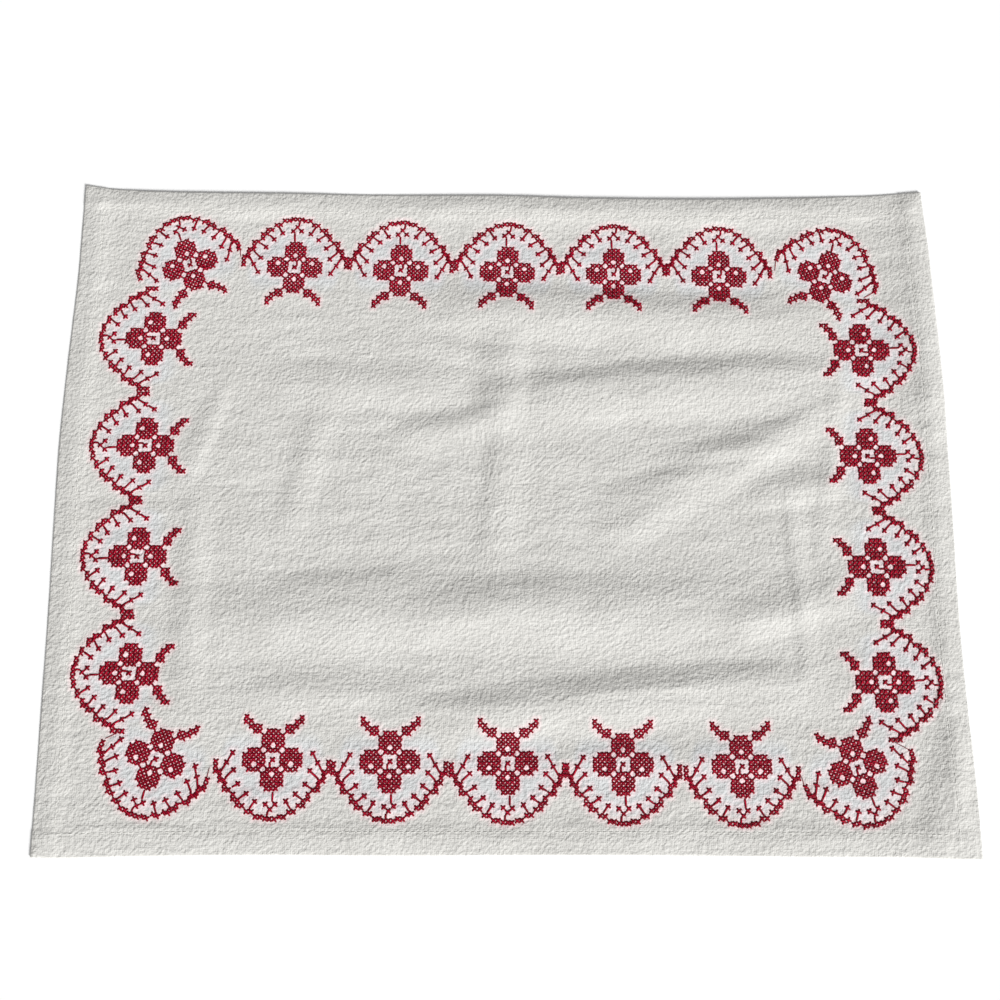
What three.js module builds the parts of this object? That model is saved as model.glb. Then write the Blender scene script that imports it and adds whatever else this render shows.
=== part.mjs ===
// A cloth napkin: one piece of white cotton with a turned hem all round, lying flat in the soft creases of its folding.
// Millimetres. X runs along the long sides, Y along the short ones, and Z up from the surface under the cloth.
import * as THREE from "three";

// The plain rectangle that the cloth was cut and hemmed to
const LENGTH = 460;
const WIDTH = 346;

// Thickness of the cloth, and what the turned hem adds to it
const CLOTH_THICKNESS = 1;
const HEM_WIDTH = 12;
const HEM_EXTRA = 0.5;
const HEM_STEP = 2;

// Cells of the mesh between the hems, and across one hem
const CELLS_ALONG = 46;
const CELLS_ACROSS = 34;
const HEM_CELLS = 2;

// How far each edge stands out from the plain rectangle, at a place along that edge
const FAR_EDGE = [
  { at: -230, out: 3.3 },
  { at: -214, out: 0.8 },
  { at: -179, out: -0.9 },
  { at: -120, out: -1.4 },
  { at: -60, out: -2 },
  { at: 0, out: -2 },
  { at: 41, out: -3.3 },
  { at: 101, out: -3.8 },
  { at: 151, out: -2.9 },
  { at: 201, out: -0.9 },
  { at: 230, out: 1.6 },
];
const NEAR_EDGE = [
  { at: -230, out: 2.9 },
  { at: -214, out: 3 },
  { at: -180, out: 2.2 },
  { at: -120, out: 1.7 },
  { at: -60, out: 1.9 },
  { at: 30, out: 1.7 },
  { at: 90, out: 1.9 },
  { at: 150, out: 2.4 },
  { at: 195, out: 2.7 },
  { at: 216, out: 3.3 },
  { at: 230, out: 3.7 },
];
const LEFT_EDGE = [
  { at: -173, out: -1.7 },
  { at: -145, out: -1.5 },
  { at: -105, out: -0.8 },
  { at: -60, out: -0.1 },
  { at: -15, out: 1.2 },
  { at: 30, out: 2.2 },
  { at: 75, out: 1.4 },
  { at: 120, out: 0.1 },
  { at: 145, out: 0.2 },
  { at: 173, out: 0.4 },
];
const RIGHT_EDGE = [
  { at: -173, out: 1.5 },
  { at: -145, out: 1.7 },
  { at: -105, out: 0.8 },
  { at: -60, out: 0.4 },
  { at: -15, out: 1.5 },
  { at: 30, out: 2.3 },
  { at: 75, out: 2.2 },
  { at: 120, out: 1.2 },
  { at: 145, out: 0.8 },
  { at: 173, out: -0.2 },
];

// The creases that stand up. Each crest runs from a start to an end, bowed to its left in the middle, and the last
// two columns are how far its slopes reach to the left and to the right of the crest.
const FOLD_COLUMNS = ["place", "startX", "startY", "endX", "endY", "bow", "height", "left", "right"];
const FOLDS = [
  ["far band", -65, 105, 190, 95, 2, 2.7, 18, 21],
  ["second band", -25, 52, 195, 70, 3, 3, 15, 26],
  ["second band, left half", -130, 62, -12, 62, 0, 1.2, 16, 16],
  ["slanted band", 40, -24, 184, 56, 0, 1.7, 20, 17],
  ["slanted band, steep stretch", 116, 22, 188, 58, 0, 0.8, 10, 13],
  ["down the middle, far part", 3, 96, -2, 34, 0, 1.5, 14, 20],
  ["down the middle, near part", 1, 50, -11, -45, 0, 1, 18, 10],
  ["short one beside the middle", -62, 34, 6, 46, 0, 1.4, 10, 13],
  ["third band", -185, -62, 172, -57, 2, 2.7, 24, 24],
  ["third band, steep stretch", -52, -62, 42, -47, 0, 1, 18, 14],
  ["near band", -75, -116, 178, -90, 4, 2.4, 14, 22],
  ["near band, left half", -140, -98, -22, -99, 0, 1, 14, 14],
  ["right, far short one", 124, 4, 182, 10, 0, 1.5, 12, 12],
  ["right, near short one", 106, -66, 184, -46, 0, 1.6, 13, 14],
  ["left, upright", -94, 60, -115, -28, 0, 0.8, 13, 10],
  ["left border", -160, 14, -158, -112, 0, 1, 12, 12],
  ["right hem", 228, 167, 230, 26, 0, 1.8, 10, 30],
  ["near right corner", 208, -182, 226, -112, 0, 1.3, 14, 12],
  ["far hem, left half", -228, 170, -70, 167, 0, 0.8, 10, 14],
  ["far hem, right half", -95, 164, 226, 165, 0, 1.2, 12, 16],
].map((row) => Object.fromEntries(FOLD_COLUMNS.map((name, i) => [name, row[i]])));

// Slope of an edge table at one of its rows
function edgeSlope(rows, i) {
  const before = rows[Math.max(i - 1, 0)];
  const after = rows[Math.min(i + 1, rows.length - 1)];
  return (after.out - before.out) / (after.at - before.at);
}

// Smooth curve through the rows of an edge table
function standsOut(rows, place) {
  const next = rows.findIndex((row, i) => i > 0 && row.at >= place);
  const from = rows[next - 1];
  const to = rows[next];
  const span = to.at - from.at;
  const t = (place - from.at) / span;
  const leaving = edgeSlope(rows, next - 1) * span * t * (1 - t) ** 2;
  const arriving = edgeSlope(rows, next) * span * t ** 2 * (1 - t);
  return from.out + (to.out - from.out) * t ** 2 * (3 - 2 * t) + leaving - arriving;
}

// Moves a point of the plain rectangle to where it lies in the cloth's uneven outline
function inOutline(u, v) {
  const rightShare = u / LENGTH + 0.5;
  const farShare = v / WIDTH + 0.5;
  const x = u + standsOut(RIGHT_EDGE, v) * rightShare - standsOut(LEFT_EDGE, v) * (1 - rightShare);
  const y = v + standsOut(FAR_EDGE, u) * farShare - standsOut(NEAR_EDGE, u) * (1 - farShare);
  return { x, y };
}

// Height of one crease over a point: full on the crest, and none past its slopes and its ends
function foldHeight(fold, x, y) {
  const wayX = fold.endX - fold.startX;
  const wayY = fold.endY - fold.startY;
  const length = Math.hypot(wayX, wayY);
  const fromX = x - fold.startX;
  const fromY = y - fold.startY;
  const run = (fromX * wayX + fromY * wayY) / length ** 2;
  const bow = fold.bow * 4 * run * (1 - run);
  const aside = (wayX * fromY - wayY * fromX) / length - bow;
  const reach = aside > 0 ? fold.left : fold.right;
  const across = Math.max(0, 1 - (aside / reach) ** 2) ** 2;
  const ends = Math.max(0, 1 - (2 * run - 1) ** 4) ** 2;
  return fold.height * across * ends;
}

// Height of the cloth's underside over the surface that it lies on
function liftAt(x, y) {
  return FOLDS.reduce((sum, fold) => sum + foldHeight(fold, x, y), 0);
}

// Thickness of the cloth, with the hem's extra layers along every edge
function thicknessAt(u, v) {
  const inFromEdge = Math.min(LENGTH / 2 - Math.abs(u), WIDTH / 2 - Math.abs(v));
  return inFromEdge <= HEM_WIDTH ? CLOTH_THICKNESS + HEM_EXTRA : CLOTH_THICKNESS;
}

// Places of the mesh lines across one side: evenly over the middle, and closer at the hems
function meshLines(size, cells) {
  const half = size / 2;
  const inner = half - HEM_WIDTH - HEM_STEP;
  const hem = Array.from({ length: HEM_CELLS + 1 }, (_, i) => half - (HEM_WIDTH * i) / HEM_CELLS);
  const middle = Array.from({ length: cells + 1 }, (_, i) => inner * ((2 * i) / cells - 1));
  return [...hem.map((place) => -place), ...middle, ...hem.toReversed()];
}

// The cloth as one closed sheet: an upper and a lower skin, joined round the rim
function clothGeometry() {
  const across = meshLines(LENGTH, CELLS_ALONG);
  const up = meshLines(WIDTH, CELLS_ACROSS);
  const lower = [];
  const upper = [];
  for (const v of up) {
    for (const u of across) {
      const { x, y } = inOutline(u, v);
      const lift = liftAt(x, y);
      lower.push(x, y, lift);
      upper.push(x, y, lift + thicknessAt(u, v));
    }
  }

  const columns = across.length;
  const rows = up.length;
  const skin = columns * rows;
  const faces = [];
  for (let j = 0; j < rows - 1; j++) {
    for (let i = 0; i < columns - 1; i++) {
      const a = j * columns + i;
      const b = a + 1;
      const c = b + columns;
      const d = a + columns;
      const cut = (i + j) % 2 ? [a, b, c, a, c, d] : [a, b, d, b, c, d];
      faces.push(...cut.map((corner) => corner + skin));
      faces.push(...cut.toReversed());
    }
  }

  const nearRim = Array.from({ length: columns - 1 }, (_, i) => i);
  const rightRim = Array.from({ length: rows - 1 }, (_, j) => j * columns + columns - 1);
  const rim = [...nearRim, ...rightRim];
  const allRim = [...rim, ...rim.map((corner) => skin - 1 - corner)];
  allRim.forEach((a, i) => {
    const b = allRim[(i + 1) % allRim.length];
    faces.push(a, b, b + skin, a, b + skin, a + skin);
  });

  const geometry = new THREE.BufferGeometry();
  geometry.setAttribute("position", new THREE.Float32BufferAttribute([...lower, ...upper], 3));
  geometry.setIndex(faces);
  geometry.computeBoundingBox();
  const middle = geometry.boundingBox.getCenter(new THREE.Vector3());
  geometry.translate(-middle.x, -middle.y, 0);
  geometry.computeVertexNormals();
  return geometry;
}

const cotton = new THREE.MeshStandardMaterial({ color: 0xdfddd5, roughness: 0.95, metalness: 0 });
const cloth = new THREE.Mesh(clothGeometry(), cotton);
cloth.name = "napkin_cloth";

const group = new THREE.Group();
group.name = "cloth_napkin";
group.add(cloth);

export default group;
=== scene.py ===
# A cloth napkin: a thin cotton sheet with a turned hem and soft creases, and a red cross-stitch border.
# Shapes are worked out in millimetres, and MM turns them into the scene's metres.
import math

import bpy
import numpy as np
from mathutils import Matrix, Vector
from mathutils.kdtree import KDTree


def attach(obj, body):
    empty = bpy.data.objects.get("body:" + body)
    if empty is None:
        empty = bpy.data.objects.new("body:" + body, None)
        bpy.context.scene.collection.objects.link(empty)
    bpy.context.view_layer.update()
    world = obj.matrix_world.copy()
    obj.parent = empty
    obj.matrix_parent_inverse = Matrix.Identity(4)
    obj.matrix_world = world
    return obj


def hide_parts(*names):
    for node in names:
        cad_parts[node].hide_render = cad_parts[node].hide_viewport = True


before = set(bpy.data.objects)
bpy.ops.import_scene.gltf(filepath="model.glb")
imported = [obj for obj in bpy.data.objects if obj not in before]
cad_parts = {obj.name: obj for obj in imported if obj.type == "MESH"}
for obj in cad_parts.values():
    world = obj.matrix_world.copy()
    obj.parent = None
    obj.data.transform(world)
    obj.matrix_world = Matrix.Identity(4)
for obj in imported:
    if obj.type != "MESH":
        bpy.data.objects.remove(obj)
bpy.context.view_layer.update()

MM = 0.001

# The plain rectangle that the cloth was cut and hemmed to, as in the CAD model
LENGTH = 460.0
WIDTH = 346.0
HEM_WIDTH = 12.0

# Thickness of the cloth and of its hem, and what the hem's corners have on top. The hem's thickness goes
# over into the cloth's from the lip to the ramp's end, and the edge is rounded.
CLOTH_THICKNESS = 0.5
HEM_THICKNESS = 0.85
CORNER_EXTRA = 0.3
CORNER_RAMP = 1.0
HEM_LIP = 0.4
HEM_RAMP = 4.0
EDGE_ROUND = 1.0

# The hem's seam: how far in it runs, the groove along it, and its stitches
SEAM_IN = 11.0
SEAM_DEPTH = 0.12
SEAM_HALF_WIDTH = 1.1
SEAM_PITCH = 2.9
SEAM_STITCH = 2.1
SEAM_START = 1
SEAM_SPREAD = 0.12

# Mesh lines: evenly over the middle, and closer over the hem, at these distances in from the edge
CELLS_ALONG = 292
CELLS_ACROSS = 212
HEM_LINES = [0.0, 0.1, 0.35, 0.8, 2.2, 4.0, 6.0, 8.0, 9.4, 10.3, 11.0, 11.8, 13.0, 14.4]

# The maps for baking: the cloth's upper face starts half way up, each of its two faces fills this share
# of the height, and every stitch has a margin in its own square
UPPER_START = 0.5
FACE_SHARE = 0.49
CELL_MARGIN = 0.08

# How far each edge stands out from the plain rectangle: place along the edge, and how far out
FAR_EDGE = [
    (-230, 3.3), (-214, 0.8), (-179, -0.9), (-120, -1.4), (-60, -2), (0, -2),
    (41, -3.3), (101, -3.8), (151, -2.9), (201, -0.9), (230, 1.6),
]
NEAR_EDGE = [
    (-230, 2.9), (-214, 3), (-180, 2.2), (-120, 1.7), (-60, 1.9), (30, 1.7),
    (90, 1.9), (150, 2.4), (195, 2.7), (216, 3.3), (230, 3.7),
]
LEFT_EDGE = [
    (-173, -1.7), (-145, -1.5), (-105, -0.8), (-60, -0.1), (-15, 1.2),
    (30, 2.2), (75, 1.4), (120, 0.1), (145, 0.2), (173, 0.4),
]
RIGHT_EDGE = [
    (-173, 1.5), (-145, 1.7), (-105, 0.8), (-60, 0.4), (-15, 1.5),
    (30, 2.3), (75, 2.2), (120, 1.2), (145, 0.8), (173, -0.2),
]

# The creases that stand up, as in the CAD model. Each crest runs from a start to an end, bowed to its left
# in the middle, and the last two numbers are how far its slopes reach to the left and right of the crest.
# start x, start y, end x, end y, bow, height, left, right
FOLDS = [
    (-65, 105, 190, 95, 2, 2.7, 18, 21),  # far band
    (-25, 52, 195, 70, 3, 3, 15, 26),  # second band
    (-130, 62, -12, 62, 0, 1.2, 16, 16),  # second band, left half
    (40, -24, 184, 56, 0, 1.7, 20, 17),  # slanted band
    (116, 22, 188, 58, 0, 0.8, 10, 13),  # slanted band, steep stretch
    (3, 96, -2, 34, 0, 1.5, 14, 20),  # down the middle, far part
    (1, 50, -11, -45, 0, 1, 18, 10),  # down the middle, near part
    (-62, 34, 6, 46, 0, 1.4, 10, 13),  # short one beside the middle
    (-185, -62, 172, -57, 2, 2.7, 24, 24),  # third band
    (-52, -62, 42, -47, 0, 1, 18, 14),  # third band, steep stretch
    (-75, -116, 178, -90, 4, 2.4, 14, 22),  # near band
    (-140, -98, -22, -99, 0, 1, 14, 14),  # near band, left half
    (124, 4, 182, 10, 0, 1.5, 12, 12),  # right, far short one
    (106, -66, 184, -46, 0, 1.6, 13, 14),  # right, near short one
    (-94, 60, -115, -28, 0, 0.8, 13, 10),  # left, upright
    (-160, 14, -158, -112, 0, 1, 12, 12),  # left border
    (228, 167, 230, 26, 0, 1.8, 10, 30),  # right hem
    (208, -182, 226, -112, 0, 1.3, 14, 12),  # near right corner
    (-228, 170, -70, 167, 0, 0.8, 10, 14),  # far hem, left half
    (-95, 164, 226, 165, 0, 1.2, 12, 16),  # far hem, right half
]
# Finer creases that the CAD model leaves out, in the same columns
FINE_FOLDS = [
    (-52, 88, 6, 75, 0, 0.7, 8, 10),  # far, left of the middle
    (78, 23, 138, 30, 0, 0.8, 8, 7),  # beyond the slanted band
    (42, -1, 110, 18, 0, 0.7, 9, 9),  # beside the slanted band
    (-146, 66, -166, 5, 0, 0.8, 7, 11),  # far left, upright
    (146, 16, 152, -100, 0, 0.8, 10, 6),  # right, upright
    (181, 84, 160, -38, 0, 0.5, 8, 7),  # right border, upright
    (-115, -43, -28, -40, 0, 0.6, 10, 10),  # beyond the third band, left
    (-5, -131, 150, -131, 0, 0.6, 9, 12),  # through the near flowers
    (30, -98, 120, -94, 0, 0.5, 5, 4),  # on the near band
]

# Soft unevenness all over: size along X, size along Y, height
WRINKLES = [
    (60, 24, 0.4),
    (34, 7, 0.35),
    (13, 5.5, 0.28),
    (5.5, 4.5, 0.14),
]
# Crumples that a hem's sewing leaves: side, height, size along the seam. They slant a little, are longer
# across the seam than along it, and are stronger in some patches than in others.
HEM_CRUMPLES = {"far": (0.9, 6.5), "near": (0.9, 6), "left": (0.5, 8), "right": (1.3, 5.5)}
CRUMPLE_REACH = 20.0
CRUMPLE_SLANT = 0.35
CRUMPLE_STRETCH = 4
CRUMPLE_PATCH = 50
# The unevenness dies down this far in from the edge, and this share of it is left at the edge itself
RIM_REACH = 9.0
RIM_SHARE = 0.15

# The stitched pattern: one cross, and one repeat of the rows that run along and across the cloth
CROSS = 2.28
REPEAT = {"along": 57.6, "across": 58.4}
# Rows of motifs along the sides: name, number, x and y of the row's middle, way that the row runs,
# how far it climbs for each millimetre along, turn of a motif
ROWS = [
    ("far", 5, 1.0, 126.0, "along", -0.0175, -1.3),
    ("near", 5, 1.0, -131.6, "along", -0.011, 179.8),
    ("left", 4, -187.2, -0.4, "across", 0.0, 89.6),
    ("right", 4, 190.2, -4.8, "across", 0.0, -90.0),
]
# Motifs at the corners: x, y, turn
CORNERS = [
    (-170.8, 129.4, 18.5),
    (173.7, 124.4, -19.9),
    (-171.3, -129.6, 160.8),
    (174.2, -133.9, -161.9),
]

# One flower with its two leaves, a letter for each cross
FLOWER_TOP = 6
FLOWER = [
    ".....XXX.....",
    "....XXXXX....",
    "....XXXXX....",
    "....XX.XX....",
    ".XXX.XXX.XXX.",
    "XX.XX...XX.XX",
    "XXXXX.X.XXXXX",
    "XXXXX...XXXXX",
    ".XXX.XXX.XXX.",
    "....XX.XX....",
    "....XXXXX....",
    "....XXXXX....",
    "..XX.XXX.XX..",
    ".XXX.....XXX.",
    "XX.........XX",
    "X...........X",
]
# Right half of the arch over it, in crosses from the flower's middle
ARCH_TOP = (0, 12.2)
ARCH = [
    (1, 12.2), (2, 11.8), (3, 11.8), (4, 10.8), (5, 10.7), (6, 9.5), (7, 9.4), (7, 8.4), (8, 8.2),
    (8, 7.2), (9, 6.3), (10, 6.2), (10, 5.2), (10.15, 4.3), (11, 4.3), (11.1, 3.4), (11.3, 2.5),
]
# The crosses at its foot stand half a cross in from the end of the repeat
ARCH_END_ROWS = (2.4, 1.4, 0.4)
ARCH_END_IN = 0.5
# The three crosses of the forked stamen, and its straight stitches
STAMEN = [(-1, 9.2), (1, 9.2), (0, 10.2)]
STAMEN_LINES = [(-0.5, 8.8, -0.4, 6.5), (0.5, 10.6, 0.6, 11.8), (0.5, 0.4, 0.5, 1.6)]
# Right half of the stalks: straight stitch from x, y to the cross at x, y
STALKS = [
    (4.5, 10.3, 3.3, 8.6),
    (6.6, 8.1, 5.3, 7.1),
    (8.5, 5.9, 7.2, 5.0),
    (10.1, 4.0, 8.2, 2.2),
    (11.0, 2.7, 9.8, 0.6),
    (9.6, 0.2, 8.6, -1.4),
]
# Threads carried over the gaps beside the corners: from x, y to x, y
CARRIED = [
    (-143.9, 140, -143.2, 134),
    (147.5, 134.5, 146.5, 127),
    (145.6, -137.5, 147, -143.5),
    (192, -121, 200.5, -125.5),
    (199.5, 115.4, 193.5, 112),
    (-196.8, -120.2, -190.5, -117.3),
    (-144.6, -133.5, -145.7, -140),
]

# Painted pink light that the red thread throws back onto the cloth. Places along each stitch are counted
# within the reach, and the painted glow grows between the two counts. Beside a single line it has a share,
# which fades between the two distances.
STITCH_SAMPLES = (0.1, 0.5, 0.9)
BOUNCE_GLOW_REACH = 2.4
BOUNCE_GLOW_CROWD = (5, 20)
HALO_REACH = (0.6, 2.3)
HALO_SHARE = 0.42
# The stamped pattern tints the cloth under an arch: it fades towards its radius, and between two distances
# below the flower's middle
STAMP_RADIUS = 11.6 * CROSS
STAMP_BORDER = 4
STAMP_BELOW = (-16, -6)

# A stitch is a soft tube that comes up out of the cloth, lies over it and goes down again
STITCH_PLACES = np.array([0.0, 0.12, 0.36, 0.64, 0.88, 1.0])
STITCH_FULLNESS = np.array([0.5, 0.95, 1.0, 1.0, 0.95, 0.5])
STITCH_SIDES = 6
STITCH_WIDTH = 1.08
STITCH_HEIGHT = 0.3
# Heights along the under and the over leg of a cross
UNDER_LEG = np.array([-0.12, 0.08, 0.12, 0.12, 0.08, -0.12])
OVER_LEG = np.array([-0.12, 0.12, 0.33, 0.33, 0.12, -0.12])
# A cross's two legs, in its square, and how much longer they are than the square's diagonals
LEGS = [((-0.5, -0.5), (0.5, 0.5), 0), ((-0.5, 0.5), (0.5, -0.5), 1)]
LEG_STRETCH = 1.12

# How uneven the handwork is: a motif's turn in degrees and place in millimetres, a cross's lean in
# degrees, then in crosses a cross's place, its legs' ends and a straight stitch's ends, and the share of
# its width by which a thread differs
MOTIF_TURN_SPREAD = 0.35
MOTIF_PLACE_SPREAD = 0.25
CROSS_LEAN_SPREAD = 3.0
CROSS_PLACE_SPREAD = 0.035
LEG_END_SPREAD = 0.03
LINE_END_SPREAD = 0.05
THREAD_SPREAD = 0.1

# The camera's place for the photo's view, its turn in degrees and its lens, and the floor's half side
CAMERA_PLACE = (-6.3, -101.6, 507.7)
CAMERA_ANGLES = (11.36, -0.44, 0.08)
CAMERA_LENS = 36
CAMERA_SENSOR = 36
FLOOR_REACH = 3000

# Cells on a side of each table of random heights, and the tables' seeds. The first seed of a kind is for
# the first row of its table, the next for the second row and so on.
NOISE_CELLS = 400
WRINKLE_SEED = 20
CRUMPLE_SEED = 40
PATCH_SEED = 50
# Every other random number comes from here, in the order in which the pieces are made
rng = np.random.default_rng(11)


def soft_noise(x, y, size_x, size_y, seed):
    """Smooth random heights between -1 and 1, with bumps of about that size."""
    table = np.random.default_rng(seed).uniform(-1, 1, (NOISE_CELLS, NOISE_CELLS))
    gx = x / size_x + NOISE_CELLS / 2
    gy = y / size_y + NOISE_CELLS / 2
    ix = np.floor(gx).astype(int)
    iy = np.floor(gy).astype(int)
    sx = gx - ix
    sy = gy - iy
    sx = sx * sx * (3 - 2 * sx)
    sy = sy * sy * (3 - 2 * sy)
    low = table[ix, iy] * (1 - sx) + table[ix + 1, iy] * sx
    high = table[ix, iy + 1] * (1 - sx) + table[ix + 1, iy + 1] * sx
    return low * (1 - sy) + high * sy


def smooth(low, high, value):
    """0 below low, 1 above high, and a smooth rise between them."""
    t = np.clip((value - low) / (high - low), 0, 1)
    return t * t * (3 - 2 * t)


def stands_out(rows, place):
    """Smooth curve through the rows of an edge table."""
    at = np.array([row[0] for row in rows], float)
    out = np.array([row[1] for row in rows], float)
    last = len(rows) - 1
    after = np.minimum(np.arange(last + 1) + 1, last)
    before = np.maximum(np.arange(last + 1) - 1, 0)
    slope = (out[after] - out[before]) / (at[after] - at[before])
    place = np.clip(place, at[0], at[-1])
    i = np.clip(np.searchsorted(at, place) - 1, 0, last - 1)
    span = at[i + 1] - at[i]
    t = (place - at[i]) / span
    eased = t * t * (3 - 2 * t)
    leaving = slope[i] * span * t * (1 - t) ** 2
    arriving = slope[i + 1] * span * t * t * (1 - t)
    return out[i] + (out[i + 1] - out[i]) * eased + leaving - arriving


def in_outline(u, v):
    """Moves points of the plain rectangle to where they lie in the cloth's uneven outline."""
    right = u / LENGTH + 0.5
    far = v / WIDTH + 0.5
    x = u + stands_out(RIGHT_EDGE, v) * right - stands_out(LEFT_EDGE, v) * (1 - right)
    y = v + stands_out(FAR_EDGE, u) * far - stands_out(NEAR_EDGE, u) * (1 - far)
    return x, y


def fold_lift(x, y):
    """Height of the standing creases over the table."""
    lift = np.zeros_like(x)
    for start_x, start_y, end_x, end_y, bow, height, left, right in FOLDS + FINE_FOLDS:
        way_x = end_x - start_x
        way_y = end_y - start_y
        length = math.hypot(way_x, way_y)
        from_x = x - start_x
        from_y = y - start_y
        run = (from_x * way_x + from_y * way_y) / length**2
        aside = (way_x * from_y - way_y * from_x) / length - bow * 4 * run * (1 - run)
        reach = np.where(aside > 0, left, right)
        across = np.clip(1 - (aside / reach) ** 2, 0, None) ** 2
        ends = np.clip(1 - (2 * run - 1) ** 4, 0, None) ** 2
        lift += height * across * ends
    return lift


def crumple_lift(u, v):
    """Height of the short crumples across the hems."""
    inside = {
        "far": WIDTH / 2 - v,
        "near": WIDTH / 2 + v,
        "left": LENGTH / 2 + u,
        "right": LENGTH / 2 - u,
    }
    lift = np.zeros_like(u)
    for number, (side, (height, size)) in enumerate(HEM_CRUMPLES.items()):
        along, across = (u, v) if side in ("far", "near") else (v, u)
        slanted = along + CRUMPLE_SLANT * across
        waves = soft_noise(slanted, across, size, CRUMPLE_STRETCH * size, CRUMPLE_SEED + number)
        patches = soft_noise(along, across, CRUMPLE_PATCH, CRUMPLE_PATCH, PATCH_SEED + number)
        strength = 0.6 + 0.4 * patches
        near = 1 - smooth(0, CRUMPLE_REACH, inside[side])
        lift += height * strength * near * (0.5 + 0.5 * waves)
    return lift


def wrinkle_lift(x, y):
    """Height of the soft unevenness all over."""
    lift = np.zeros_like(x)
    for number, (size_x, size_y, height) in enumerate(WRINKLES):
        lift += height * (0.5 + 0.5 * soft_noise(x, y, size_x, size_y, WRINKLE_SEED + number))
    return lift


def underside(u, v):
    """x, y and height of the cloth's underside."""
    x, y = in_outline(u, v)
    inside = np.minimum(LENGTH / 2 - np.abs(u), WIDTH / 2 - np.abs(v))
    settled = RIM_SHARE + (1 - RIM_SHARE) * smooth(0, RIM_REACH, inside)
    return x, y, fold_lift(x, y) + settled * (crumple_lift(u, v) + wrinkle_lift(x, y))


def thickness(u, v):
    """Thickness of the cloth, and how much of it the rounded edge takes from above and from below."""
    inside_u = LENGTH / 2 - np.abs(u)
    inside_v = WIDTH / 2 - np.abs(v)
    inside = np.minimum(inside_u, inside_v)
    hem = 1 - smooth(HEM_WIDTH - HEM_LIP, HEM_WIDTH + HEM_RAMP, inside)
    over_u = 1 - smooth(HEM_WIDTH - CORNER_RAMP, HEM_WIDTH + CORNER_RAMP, inside_u)
    over_v = 1 - smooth(HEM_WIDTH - CORNER_RAMP, HEM_WIDTH + CORNER_RAMP, inside_v)
    corner = over_u * over_v
    thick = CLOTH_THICKNESS + (HEM_THICKNESS - CLOTH_THICKNESS) * hem + CORNER_EXTRA * corner
    groove = np.clip(1 - ((inside - SEAM_IN) / SEAM_HALF_WIDTH) ** 2, 0, None) ** 2
    thick -= SEAM_DEPTH * groove
    edge = np.clip(1 - inside / EDGE_ROUND, 0, 1)
    return thick, thick * (0.5 - 0.5 * np.sqrt(1 - edge**2))


def cloth_surfaces(u, v):
    """x and y of points of the cloth, and the heights of its lower and upper face there."""
    x, y, low = underside(u, v)
    thick, rounding = thickness(u, v)
    return x, y, low + rounding, low + thick - rounding


def top_height(x, y):
    """Height of the upper face over a place on the table, which is first traced back to the rectangle."""
    u, v = x, y
    for _ in range(3):
        moved_x, moved_y = in_outline(u, v)
        u, v = u + x - moved_x, v + y - moved_y
    return cloth_surfaces(u, v)[3]


def mesh_lines(size, cells):
    """Places of the mesh lines across one side."""
    half = size / 2
    hem = half - np.array(HEM_LINES)
    middle = np.linspace(-hem[-1], hem[-1], cells + 1)[1:-1]
    return np.concatenate([-hem, middle, hem[::-1]])


def add_mesh(name, points, faces, material):
    """A mesh object from points in millimetres."""
    mesh = bpy.data.meshes.new(name)
    mesh.from_pydata((np.asarray(points) * MM).tolist(), [], faces)
    mesh.materials.append(material)
    mesh.polygons.foreach_set("use_smooth", [True] * len(mesh.polygons))
    mesh.update()
    piece = bpy.data.objects.new(name, mesh)
    bpy.context.scene.collection.objects.link(piece)
    return piece


def add_values(piece, name, values):
    """A number for each point of a mesh, for its material to read."""
    attribute = piece.data.attributes.new(name, "FLOAT", "POINT")
    attribute.data.foreach_set("value", np.asarray(values, np.float32))


def add_uvs(piece, name, corners):
    """A UV map from one pair for each corner of each face."""
    layer = piece.data.uv_layers.new(name=name)
    layer.data.foreach_set("uv", np.asarray(corners, np.float32).ravel())


def coarse_faces(columns, rows, index):
    """Faces of twice the cell size. At the rim they take in the points between too, so the skins join."""
    faces = []
    for j in range(0, rows - 1, 2):
        for i in range(0, columns - 1, 2):
            near = [(i, j), (i + 1, j)] if j == 0 else [(i, j)]
            right = [(i + 2, j), (i + 2, j + 1)] if i + 3 == columns else [(i + 2, j)]
            far = [(i + 2, j + 2), (i + 1, j + 2)] if j + 3 == rows else [(i + 2, j + 2)]
            left = [(i, j + 2), (i, j + 1)] if i == 0 else [(i, j + 2)]
            faces.append([index[q, p] for p, q in near + right + far + left])
    return faces


def make_cloth(material):
    """The cloth as one closed sheet, finer above than below."""
    across = mesh_lines(LENGTH, CELLS_ALONG)
    up = mesh_lines(WIDTH, CELLS_ACROSS)
    columns = len(across)
    rows = len(up)
    u, v = np.meshgrid(across, up)
    x, y, low, high = cloth_surfaces(u, v)
    top_points = np.stack([x, y, high], -1).reshape(-1, 3)
    top_index = np.arange(rows * columns).reshape(rows, columns)

    inner = np.zeros((rows, columns), bool)
    inner[2:-2:2, 2:-2:2] = True
    low_index = top_index.copy()
    low_index[inner] = rows * columns + np.arange(inner.sum())
    low_points = np.stack([x, y, low], -1)[inner]

    corners = [top_index[:-1, :-1], top_index[:-1, 1:], top_index[1:, 1:], top_index[1:, :-1]]
    top_faces = np.stack(corners, -1).reshape(-1, 4).tolist()
    low_faces = [face[::-1] for face in coarse_faces(columns, rows, low_index)]
    points = np.concatenate([top_points, low_points])
    cloth = add_mesh("napkin_sheet", points, top_faces + low_faces, material)

    spots = np.stack([u, v], -1)
    spots = np.concatenate([spots.reshape(-1, 2), spots[inner]]) / (LENGTH, WIDTH) + 0.5
    flat = []
    for bottom, faces in ((UPPER_START, top_faces), (0.0, low_faces)):
        for face in faces:
            flat += [(spots[corner][0], bottom + spots[corner][1] * FACE_SHARE) for corner in face]
    add_uvs(cloth, "OFBake", flat)
    return cloth


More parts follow.
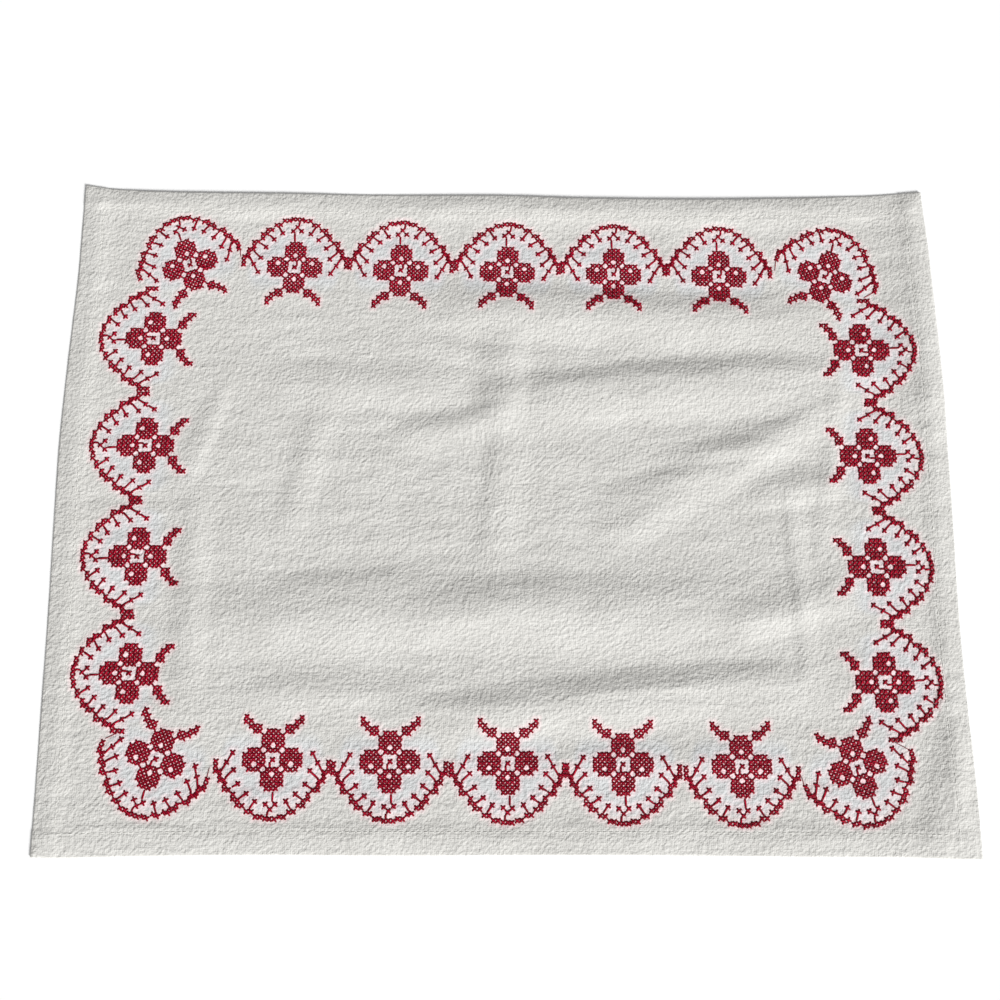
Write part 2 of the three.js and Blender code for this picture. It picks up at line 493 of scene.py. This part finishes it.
def turned(points, turn):
    """Points of a motif, turned anticlockwise by degrees."""
    angle = math.radians(turn)
    points = np.asarray(points, float)
    return np.stack(
        [
            points[..., 0] * math.cos(angle) - points[..., 1] * math.sin(angle),
            points[..., 0] * math.sin(angle) + points[..., 1] * math.cos(angle),
        ],
        -1,
    )


def motif_crosses(half_repeat):
    """Middles of a motif's crosses: flower, leaves, stamen, arch and the ends of the stalks."""
    middle = len(FLOWER[0]) // 2
    crosses = []
    for down, row in enumerate(FLOWER):
        crosses += [(across - middle, FLOWER_TOP - down) for across, c in enumerate(row) if c == "X"]
    crosses += STAMEN + [ARCH_TOP]
    for side in (-1, 1):
        crosses += [(side * across, up) for across, up in ARCH]
        crosses += [(side * (half_repeat - ARCH_END_IN), up) for up in ARCH_END_ROWS]
        crosses += [(side * end_x, end_y) for _, _, end_x, end_y in STALKS]
    return crosses


def motif_lines():
    """A motif's straight stitches."""
    lines = list(STAMEN_LINES)
    for side in (-1, 1):
        lines += [(side * x0, y0, side * x1, y1) for x0, y0, x1, y1 in STALKS]
    return lines


def motif_stitches(x, y, turn, half_repeat):
    """Rows of x0, y0, x1, y1 and whether the stitch lies over another."""
    turn += rng.normal(0, MOTIF_TURN_SPREAD)
    middle = np.array([x, y]) + rng.normal(0, MOTIF_PLACE_SPREAD, 2)
    rows = []
    for centre in motif_crosses(half_repeat):
        lean = rng.normal(0, CROSS_LEAN_SPREAD)
        shift = rng.normal(0, CROSS_PLACE_SPREAD, 2)
        for start, end, over in LEGS:
            ends = turned([start, end], lean) * LEG_STRETCH + centre + shift
            ends = ends + rng.normal(0, LEG_END_SPREAD, (2, 2))
            rows.append([*(turned(ends, turn) * CROSS + middle).ravel(), over])
    for x0, y0, x1, y1 in motif_lines():
        ends = np.array([[x0, y0], [x1, y1]]) + rng.normal(0, LINE_END_SPREAD, (2, 2))
        rows.append([*(turned(ends, turn) * CROSS + middle).ravel(), 0])
    return rows


def row_motifs(number, x, y, way, climb, turn):
    """x, y and turn of each motif along a side."""
    steps = [(i - (number - 1) / 2) * REPEAT[way] for i in range(number)]
    if way == "along":
        return [(x + step, y + climb * step, turn) for step in steps]
    return [(x, y + step, turn) for step in steps]


def tube_points(start, end, heights, width, height):
    """Rings of points round stitches that follow the cloth."""
    way = end - start
    length = np.linalg.norm(way, axis=1)
    aside = np.stack([-way[:, 1], way[:, 0]], -1) / length[:, None]
    line = start[:, None] + way[:, None] * STITCH_PLACES[None, :, None]
    level = top_height(line[..., 0], line[..., 1]) + heights
    angle = np.arange(STITCH_SIDES) * 2 * math.pi / STITCH_SIDES
    wide = np.cos(angle)[None, None] * STITCH_FULLNESS[None, :, None] * width[:, None, None] / 2
    tall = np.sin(angle)[None, None] * STITCH_FULLNESS[None, :, None] * height / 2
    flat = line[:, :, None] + aside[:, None, None] * wide[..., None]
    return np.concatenate([flat, (level[:, :, None] + tall)[..., None]], -1)


def tube_faces(count):
    """Faces of the tubes, and for each corner how far along and round it is."""
    rings = len(STITCH_PLACES)
    sides = STITCH_SIDES
    one = []
    uvs = []
    for i in range(rings - 1):
        for k in range(sides):
            n = (k + 1) % sides
            one.append([i * sides + k, i * sides + n, (i + 1) * sides + n, (i + 1) * sides + k])
            along = (STITCH_PLACES[i], STITCH_PLACES[i + 1])
            uvs += [(along[0], k / sides), (along[0], (k + 1) / sides)]
            uvs += [(along[1], (k + 1) / sides), (along[1], k / sides)]
    caps = [list(range(sides))[::-1], [(rings - 1) * sides + k for k in range(sides)]]
    for place, cap in zip((0.0, 1.0), caps):
        one.append(cap)
        uvs += [(place, k / sides) for k in range(sides)]
    faces = []
    for number in range(count):
        first = number * rings * sides
        faces += [[first + corner for corner in face] for face in one]
    return faces, np.array(uvs)


def make_stitches(name, rows, material, width=STITCH_WIDTH, height=STITCH_HEIGHT):
    """Stitches as one joined mesh."""
    rows = np.array(rows, float)
    count = len(rows)
    heights = np.where(rows[:, 4:5] > 0, OVER_LEG, UNDER_LEG)
    widths = width * rng.uniform(1 - THREAD_SPREAD, 1 + THREAD_SPREAD, count)
    points = tube_points(rows[:, :2], rows[:, 2:4], heights, widths, height)
    faces, uvs = tube_faces(count)
    piece = add_mesh(name, points.reshape(-1, 3), faces, material)
    each = points.shape[1] * points.shape[2]
    add_values(piece, "shade", np.repeat(rng.uniform(0, 1, count), each))
    add_uvs(piece, "strand", np.tile(uvs, (count, 1)))

    side = math.ceil(math.sqrt(count))
    cell = np.stack([np.arange(count) % side, np.arange(count) // side], -1)
    packed = (cell[:, None] + CELL_MARGIN + (1 - 2 * CELL_MARGIN) * uvs[None]) / side
    add_uvs(piece, "OFBake", packed.reshape(-1, 2))
    return piece


def seam_rows():
    """The hem's sewing: short stitches along a line in from every edge."""
    rows = []
    half_u = LENGTH / 2 - SEAM_IN
    half_v = WIDTH / 2 - SEAM_IN
    for half, other, flip in ((half_u, half_v, False), (half_v, half_u, True)):
        for side in (-1, 1):
            places = np.arange(-half + SEAM_START, half - SEAM_STITCH, SEAM_PITCH)
            for start in places + rng.normal(0, SEAM_SPREAD, len(places)):
                end = start + SEAM_STITCH
                ends = [(start, side * other), (end, side * other + rng.normal(0, SEAM_SPREAD))]
                ends = np.array([(b, a) if flip else (a, b) for a, b in ends])
                ends = np.stack(in_outline(ends[:, 0], ends[:, 1]), -1)
                rows.append([*ends.ravel(), 0])
    return rows


def make_embroidery(material):
    """The embroidery's pieces, all stitches of its motifs, and the middle and turn of every motif."""
    groups = []
    for name, number, x, y, way, climb, turn in ROWS:
        groups.append((name, REPEAT[way], row_motifs(number, x, y, way, climb, turn)))
    groups.append(("corners", REPEAT["along"], CORNERS))
    pieces = []
    stitches = []
    motifs = []
    for name, repeat, places in groups:
        rows = []
        for x, y, turn in places:
            rows += motif_stitches(x, y, turn, repeat / CROSS / 2)
        pieces.append(make_stitches("stitches_" + name, rows, material))
        stitches += rows
        motifs += places
    carried = [(*row, 0) for row in CARRIED]
    pieces.append(make_stitches("carried_threads", carried, material, width=0.35, height=0.3))
    return pieces, stitches, motifs


def colour(red, green, blue):
    """A linear colour from the 0 to 255 values of a screen."""

    def linear(value):
        value = value / 255
        return value / 12.92 if value <= 0.04045 else ((value + 0.055) / 1.055) ** 2.4

    return (linear(red), linear(green), linear(blue), 1.0)


class Nodes:
    """A material and short ways to add nodes to it."""

    def __init__(self, name, roughness):
        self.material = bpy.data.materials.new(name)
        self.material.use_nodes = True
        self.tree = self.material.node_tree
        self.shader = self.tree.nodes["Principled BSDF"]
        self.shader.inputs["Roughness"].default_value = roughness

    def add(self, kind, **settings):
        node = self.tree.nodes.new(kind)
        for key, value in settings.items():
            setattr(node, key, value)
        return node

    def link(self, output, socket):
        self.tree.links.new(output, socket)

    def math(self, operation, first, second=0.0):
        """A sum or other operation on numbers, or on what other nodes give."""
        node = self.add("ShaderNodeMath", operation=operation)
        for socket, value in zip(node.inputs, (first, second)):
            if isinstance(value, (int, float)):
                socket.default_value = value
            else:
                self.link(value, socket)
        return node.outputs[0]

    def mix(self, factor, first, second):
        """The first colour where the factor is 0, and the second where it is 1."""
        node = self.add("ShaderNodeMix", data_type="RGBA")
        for key, kind, value in (("Factor", "VALUE", factor), ("A", "RGBA", first), ("B", "RGBA", second)):
            socket = next(s for s in node.inputs if s.name == key and s.type == kind)
            if isinstance(value, bpy.types.NodeSocket):
                self.link(value, socket)
            else:
                socket.default_value = value
        return next(s for s in node.outputs if s.type == "RGBA")

    def noise(self, scale, detail, stretch=(1, 1, 1)):
        """Noise in the object's own metres, with scale bumps to a metre."""
        where = self.add("ShaderNodeTexCoord")
        mapping = self.add("ShaderNodeMapping")
        mapping.inputs["Scale"].default_value = [scale * s for s in stretch]
        self.link(where.outputs["Object"], mapping.inputs["Vector"])
        node = self.add("ShaderNodeTexNoise")
        node.inputs["Scale"].default_value = 1.0
        node.inputs["Detail"].default_value = detail
        self.link(mapping.outputs["Vector"], node.inputs["Vector"])
        return node.outputs["Fac"]

    def threads(self, pitch, direction):
        """Bands of thread at that pitch in millimetres, a little uneven."""
        where = self.add("ShaderNodeTexCoord")
        wave = self.add("ShaderNodeTexWave", wave_type="BANDS", bands_direction=direction)
        wave.inputs["Scale"].default_value = 2 * math.pi / (20 * pitch * MM)
        wave.inputs["Distortion"].default_value = 2.2
        wave.inputs["Detail"].default_value = 1.5
        wave.inputs["Detail Scale"].default_value = 0.35
        self.link(where.outputs["Object"], wave.inputs["Vector"])
        return wave.outputs["Fac"]

    def value(self, name):
        """A number that the mesh holds at each point."""
        return self.add("ShaderNodeAttribute", attribute_name=name).outputs["Fac"]

    def bump(self, height, distance):
        """Raises the surface by height times distance, in millimetres."""
        node = self.add("ShaderNodeBump")
        node.inputs["Strength"].default_value = 1.0
        node.inputs["Distance"].default_value = distance * MM
        self.link(height, node.inputs["Height"])
        self.link(node.outputs["Normal"], self.shader.inputs["Normal"])


def cotton_material():
    """Off-white crinkled plain weave, a little blue where it was stamped, with painted pink light beside
    the red thread.
    """
    nodes = Nodes("cotton", roughness=0.92)
    weave = nodes.math("ADD", nodes.threads(0.95, "X"), nodes.threads(0.85, "Y"))
    slubs = nodes.noise(200, 2.0, (0.3, 1, 1))
    puckers = nodes.noise(300, 1.5)
    crinkle = nodes.noise(620, 3.0)
    mottle = nodes.noise(38, 3.0)
    height = nodes.math("MULTIPLY", weave, 0.02)
    for layer, share in ((slubs, 0.3), (puckers, 0.4), (crinkle, 0.65)):
        height = nodes.math("ADD", height, nodes.math("MULTIPLY", layer, share))
    nodes.bump(height, 1.1)

    tone = nodes.math("ADD", nodes.math("MULTIPLY", crinkle, 0.5), nodes.math("MULTIPLY", mottle, 0.5))
    base = nodes.mix(tone, colour(190, 188, 183), colour(222, 221, 217))
    stamped = nodes.mix(nodes.math("MULTIPLY", nodes.value("stamped"), 0.4), base, colour(206, 212, 219))
    # Painted pink bounce light from the red thread, which also brightens the gaps between crosses
    bounce_glowed = nodes.mix(nodes.value("red_bounce_glow"), stamped, colour(255, 218, 222))
    nodes.link(bounce_glowed, nodes.shader.inputs["Base Color"])
    nodes.shader.inputs["Sheen Weight"].default_value = 0.15
    nodes.shader.inputs["Sheen Roughness"].default_value = 0.6
    nodes.shader.inputs["Specular IOR Level"].default_value = 0.2
    return nodes.material


def floss_material():
    """Red stranded cotton: two twisted strands, with painted shade in the groove between them."""
    nodes = Nodes("red_floss", roughness=0.55)
    strand = nodes.add("ShaderNodeUVMap", uv_map="strand")
    parts = nodes.add("ShaderNodeSeparateXYZ")
    nodes.link(strand.outputs["UV"], parts.inputs["Vector"])
    turns = nodes.math("MULTIPLY", parts.outputs["X"], 2.5)
    around = nodes.math("MULTIPLY", parts.outputs["Y"], 4.0)
    wave = nodes.math("SINE", nodes.math("MULTIPLY", nodes.math("ADD", turns, around), math.pi))
    ridge = nodes.math("MULTIPLY", nodes.math("ADD", wave, 1.0), 0.5)
    fibres = nodes.noise(3500, 1.0)
    nodes.bump(nodes.math("ADD", ridge, nodes.math("MULTIPLY", fibres, 0.4)), 0.12)
    bright = nodes.mix(nodes.value("shade"), colour(140, 2, 30), colour(196, 8, 50))
    # Painted shade: the groove between the strands is coloured darker red
    nodes.link(nodes.mix(ridge, colour(84, 0, 14), bright), nodes.shader.inputs["Base Color"])
    nodes.shader.inputs["Specular IOR Level"].default_value = 0.12
    return nodes.material


def thread_material():
    """White sewing thread with a fine twist."""
    nodes = Nodes("white_thread", roughness=0.7)
    fibres = nodes.noise(2500, 2.0)
    white = nodes.mix(fibres, colour(206, 205, 200), colour(230, 229, 224))
    nodes.link(white, nodes.shader.inputs["Base Color"])
    nodes.bump(fibres, 0.05)
    return nodes.material


def floor_material():
    """A plain pale floor."""
    nodes = Nodes("pale_floor", roughness=0.9)
    nodes.shader.inputs["Base Color"].default_value = colour(250, 250, 250)
    nodes.shader.inputs["Specular IOR Level"].default_value = 0.1
    return nodes.material


def colour_cloth(cloth, stitches, motifs):
    """Marks where the cloth gets painted pink light beside red thread, and where it lies under an arch."""
    points = np.zeros(len(cloth.data.vertices) * 3, np.float32)
    cloth.data.vertices.foreach_get("co", points)
    points = points.reshape(-1, 3)[:, :2] / MM
    samples = len(STITCH_SAMPLES)
    tree = KDTree(len(stitches) * samples)
    for number, (x0, y0, x1, y1, _) in enumerate(stitches):
        for part, t in enumerate(STITCH_SAMPLES):
            tree.insert((x0 + (x1 - x0) * t, y0 + (y1 - y0) * t, 0), number * samples + part)
    tree.balance()
    crowd = np.array([len(tree.find_range((x, y, 0), BOUNCE_GLOW_REACH)) for x, y in points])
    nearest = np.array([tree.find((x, y, 0))[2] for x, y in points])
    halo = HALO_SHARE * (1 - smooth(*HALO_REACH, nearest))
    # Painted pink bounce light: strongest where stitches crowd, fainter beside single lines
    add_values(cloth, "red_bounce_glow", np.maximum(smooth(*BOUNCE_GLOW_CROWD, crowd), halo))

    stamped = np.zeros(len(points))
    for x, y, turn in motifs:
        local = turned(points - (x, y), -turn)
        distance = np.hypot(local[:, 0], local[:, 1])
        inside = 1 - smooth(STAMP_RADIUS - STAMP_BORDER, STAMP_RADIUS, distance)
        above = smooth(*STAMP_BELOW, local[:, 1])
        stamped = np.maximum(stamped, inside * above)
    add_values(cloth, "stamped", stamped)


def soft_key(bearing, elevation, softness, strength):
    """One broad light from far off. Its bearing is anticlockwise from +X, and angles are in degrees."""
    light = bpy.data.lights.new("key_light", "SUN")
    light.angle = math.radians(softness)
    light.energy = strength
    lamp = bpy.data.objects.new("key_light", light)
    level = math.cos(math.radians(elevation))
    towards_x = level * math.cos(math.radians(bearing))
    towards_y = level * math.sin(math.radians(bearing))
    towards = Vector((towards_x, towards_y, math.sin(math.radians(elevation))))
    lamp.rotation_euler = (-towards).to_track_quat("-Z", "Y").to_euler()
    lamp.location = towards
    bpy.context.scene.collection.objects.link(lamp)


def make_studio():
    """Pale floor, one soft light from the near right, soft light from all round, and the camera."""
    far = FLOOR_REACH
    floor_corners = [(-far, -far, 0), (far, -far, 0), (far, far, 0), (-far, far, 0)]
    add_mesh("floor", floor_corners, [[0, 1, 2, 3]], floor_material())
    soft_key(bearing=-48, elevation=28, softness=18, strength=4.9)

    world = bpy.data.worlds.new("studio")
    world.use_nodes = True
    background = world.node_tree.nodes["Background"]
    background.inputs["Color"].default_value = (1, 1, 1, 1)
    background.inputs["Strength"].default_value = 0.33
    bpy.context.scene.world = world
    bpy.context.scene.view_settings.view_transform = "Standard"

    camera = bpy.data.cameras.new("camera")
    camera.lens = CAMERA_LENS
    camera.sensor_width = CAMERA_SENSOR
    seen = bpy.data.objects.new("camera", camera)
    seen.location = Vector(CAMERA_PLACE) * MM
    seen.rotation_euler = [math.radians(angle) for angle in CAMERA_ANGLES]
    bpy.context.scene.collection.objects.link(seen)
    bpy.context.scene.camera = seen


def place(piece, slot):
    """Lets a piece ride on the one body. Its slot is not used."""
    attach(piece, "root")


embroidery, stitches, motifs = make_embroidery(floss_material())
cloth = make_cloth(cotton_material())
colour_cloth(cloth, stitches, motifs)
seam = make_stitches("hem_stitches", seam_rows(), thread_material(), width=0.36, height=0.24)

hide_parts("napkin_cloth")
place(cloth, "cotton_cloth")
for piece in embroidery:
    place(piece, "red_floss")
place(seam, "white_thread")

make_studio()
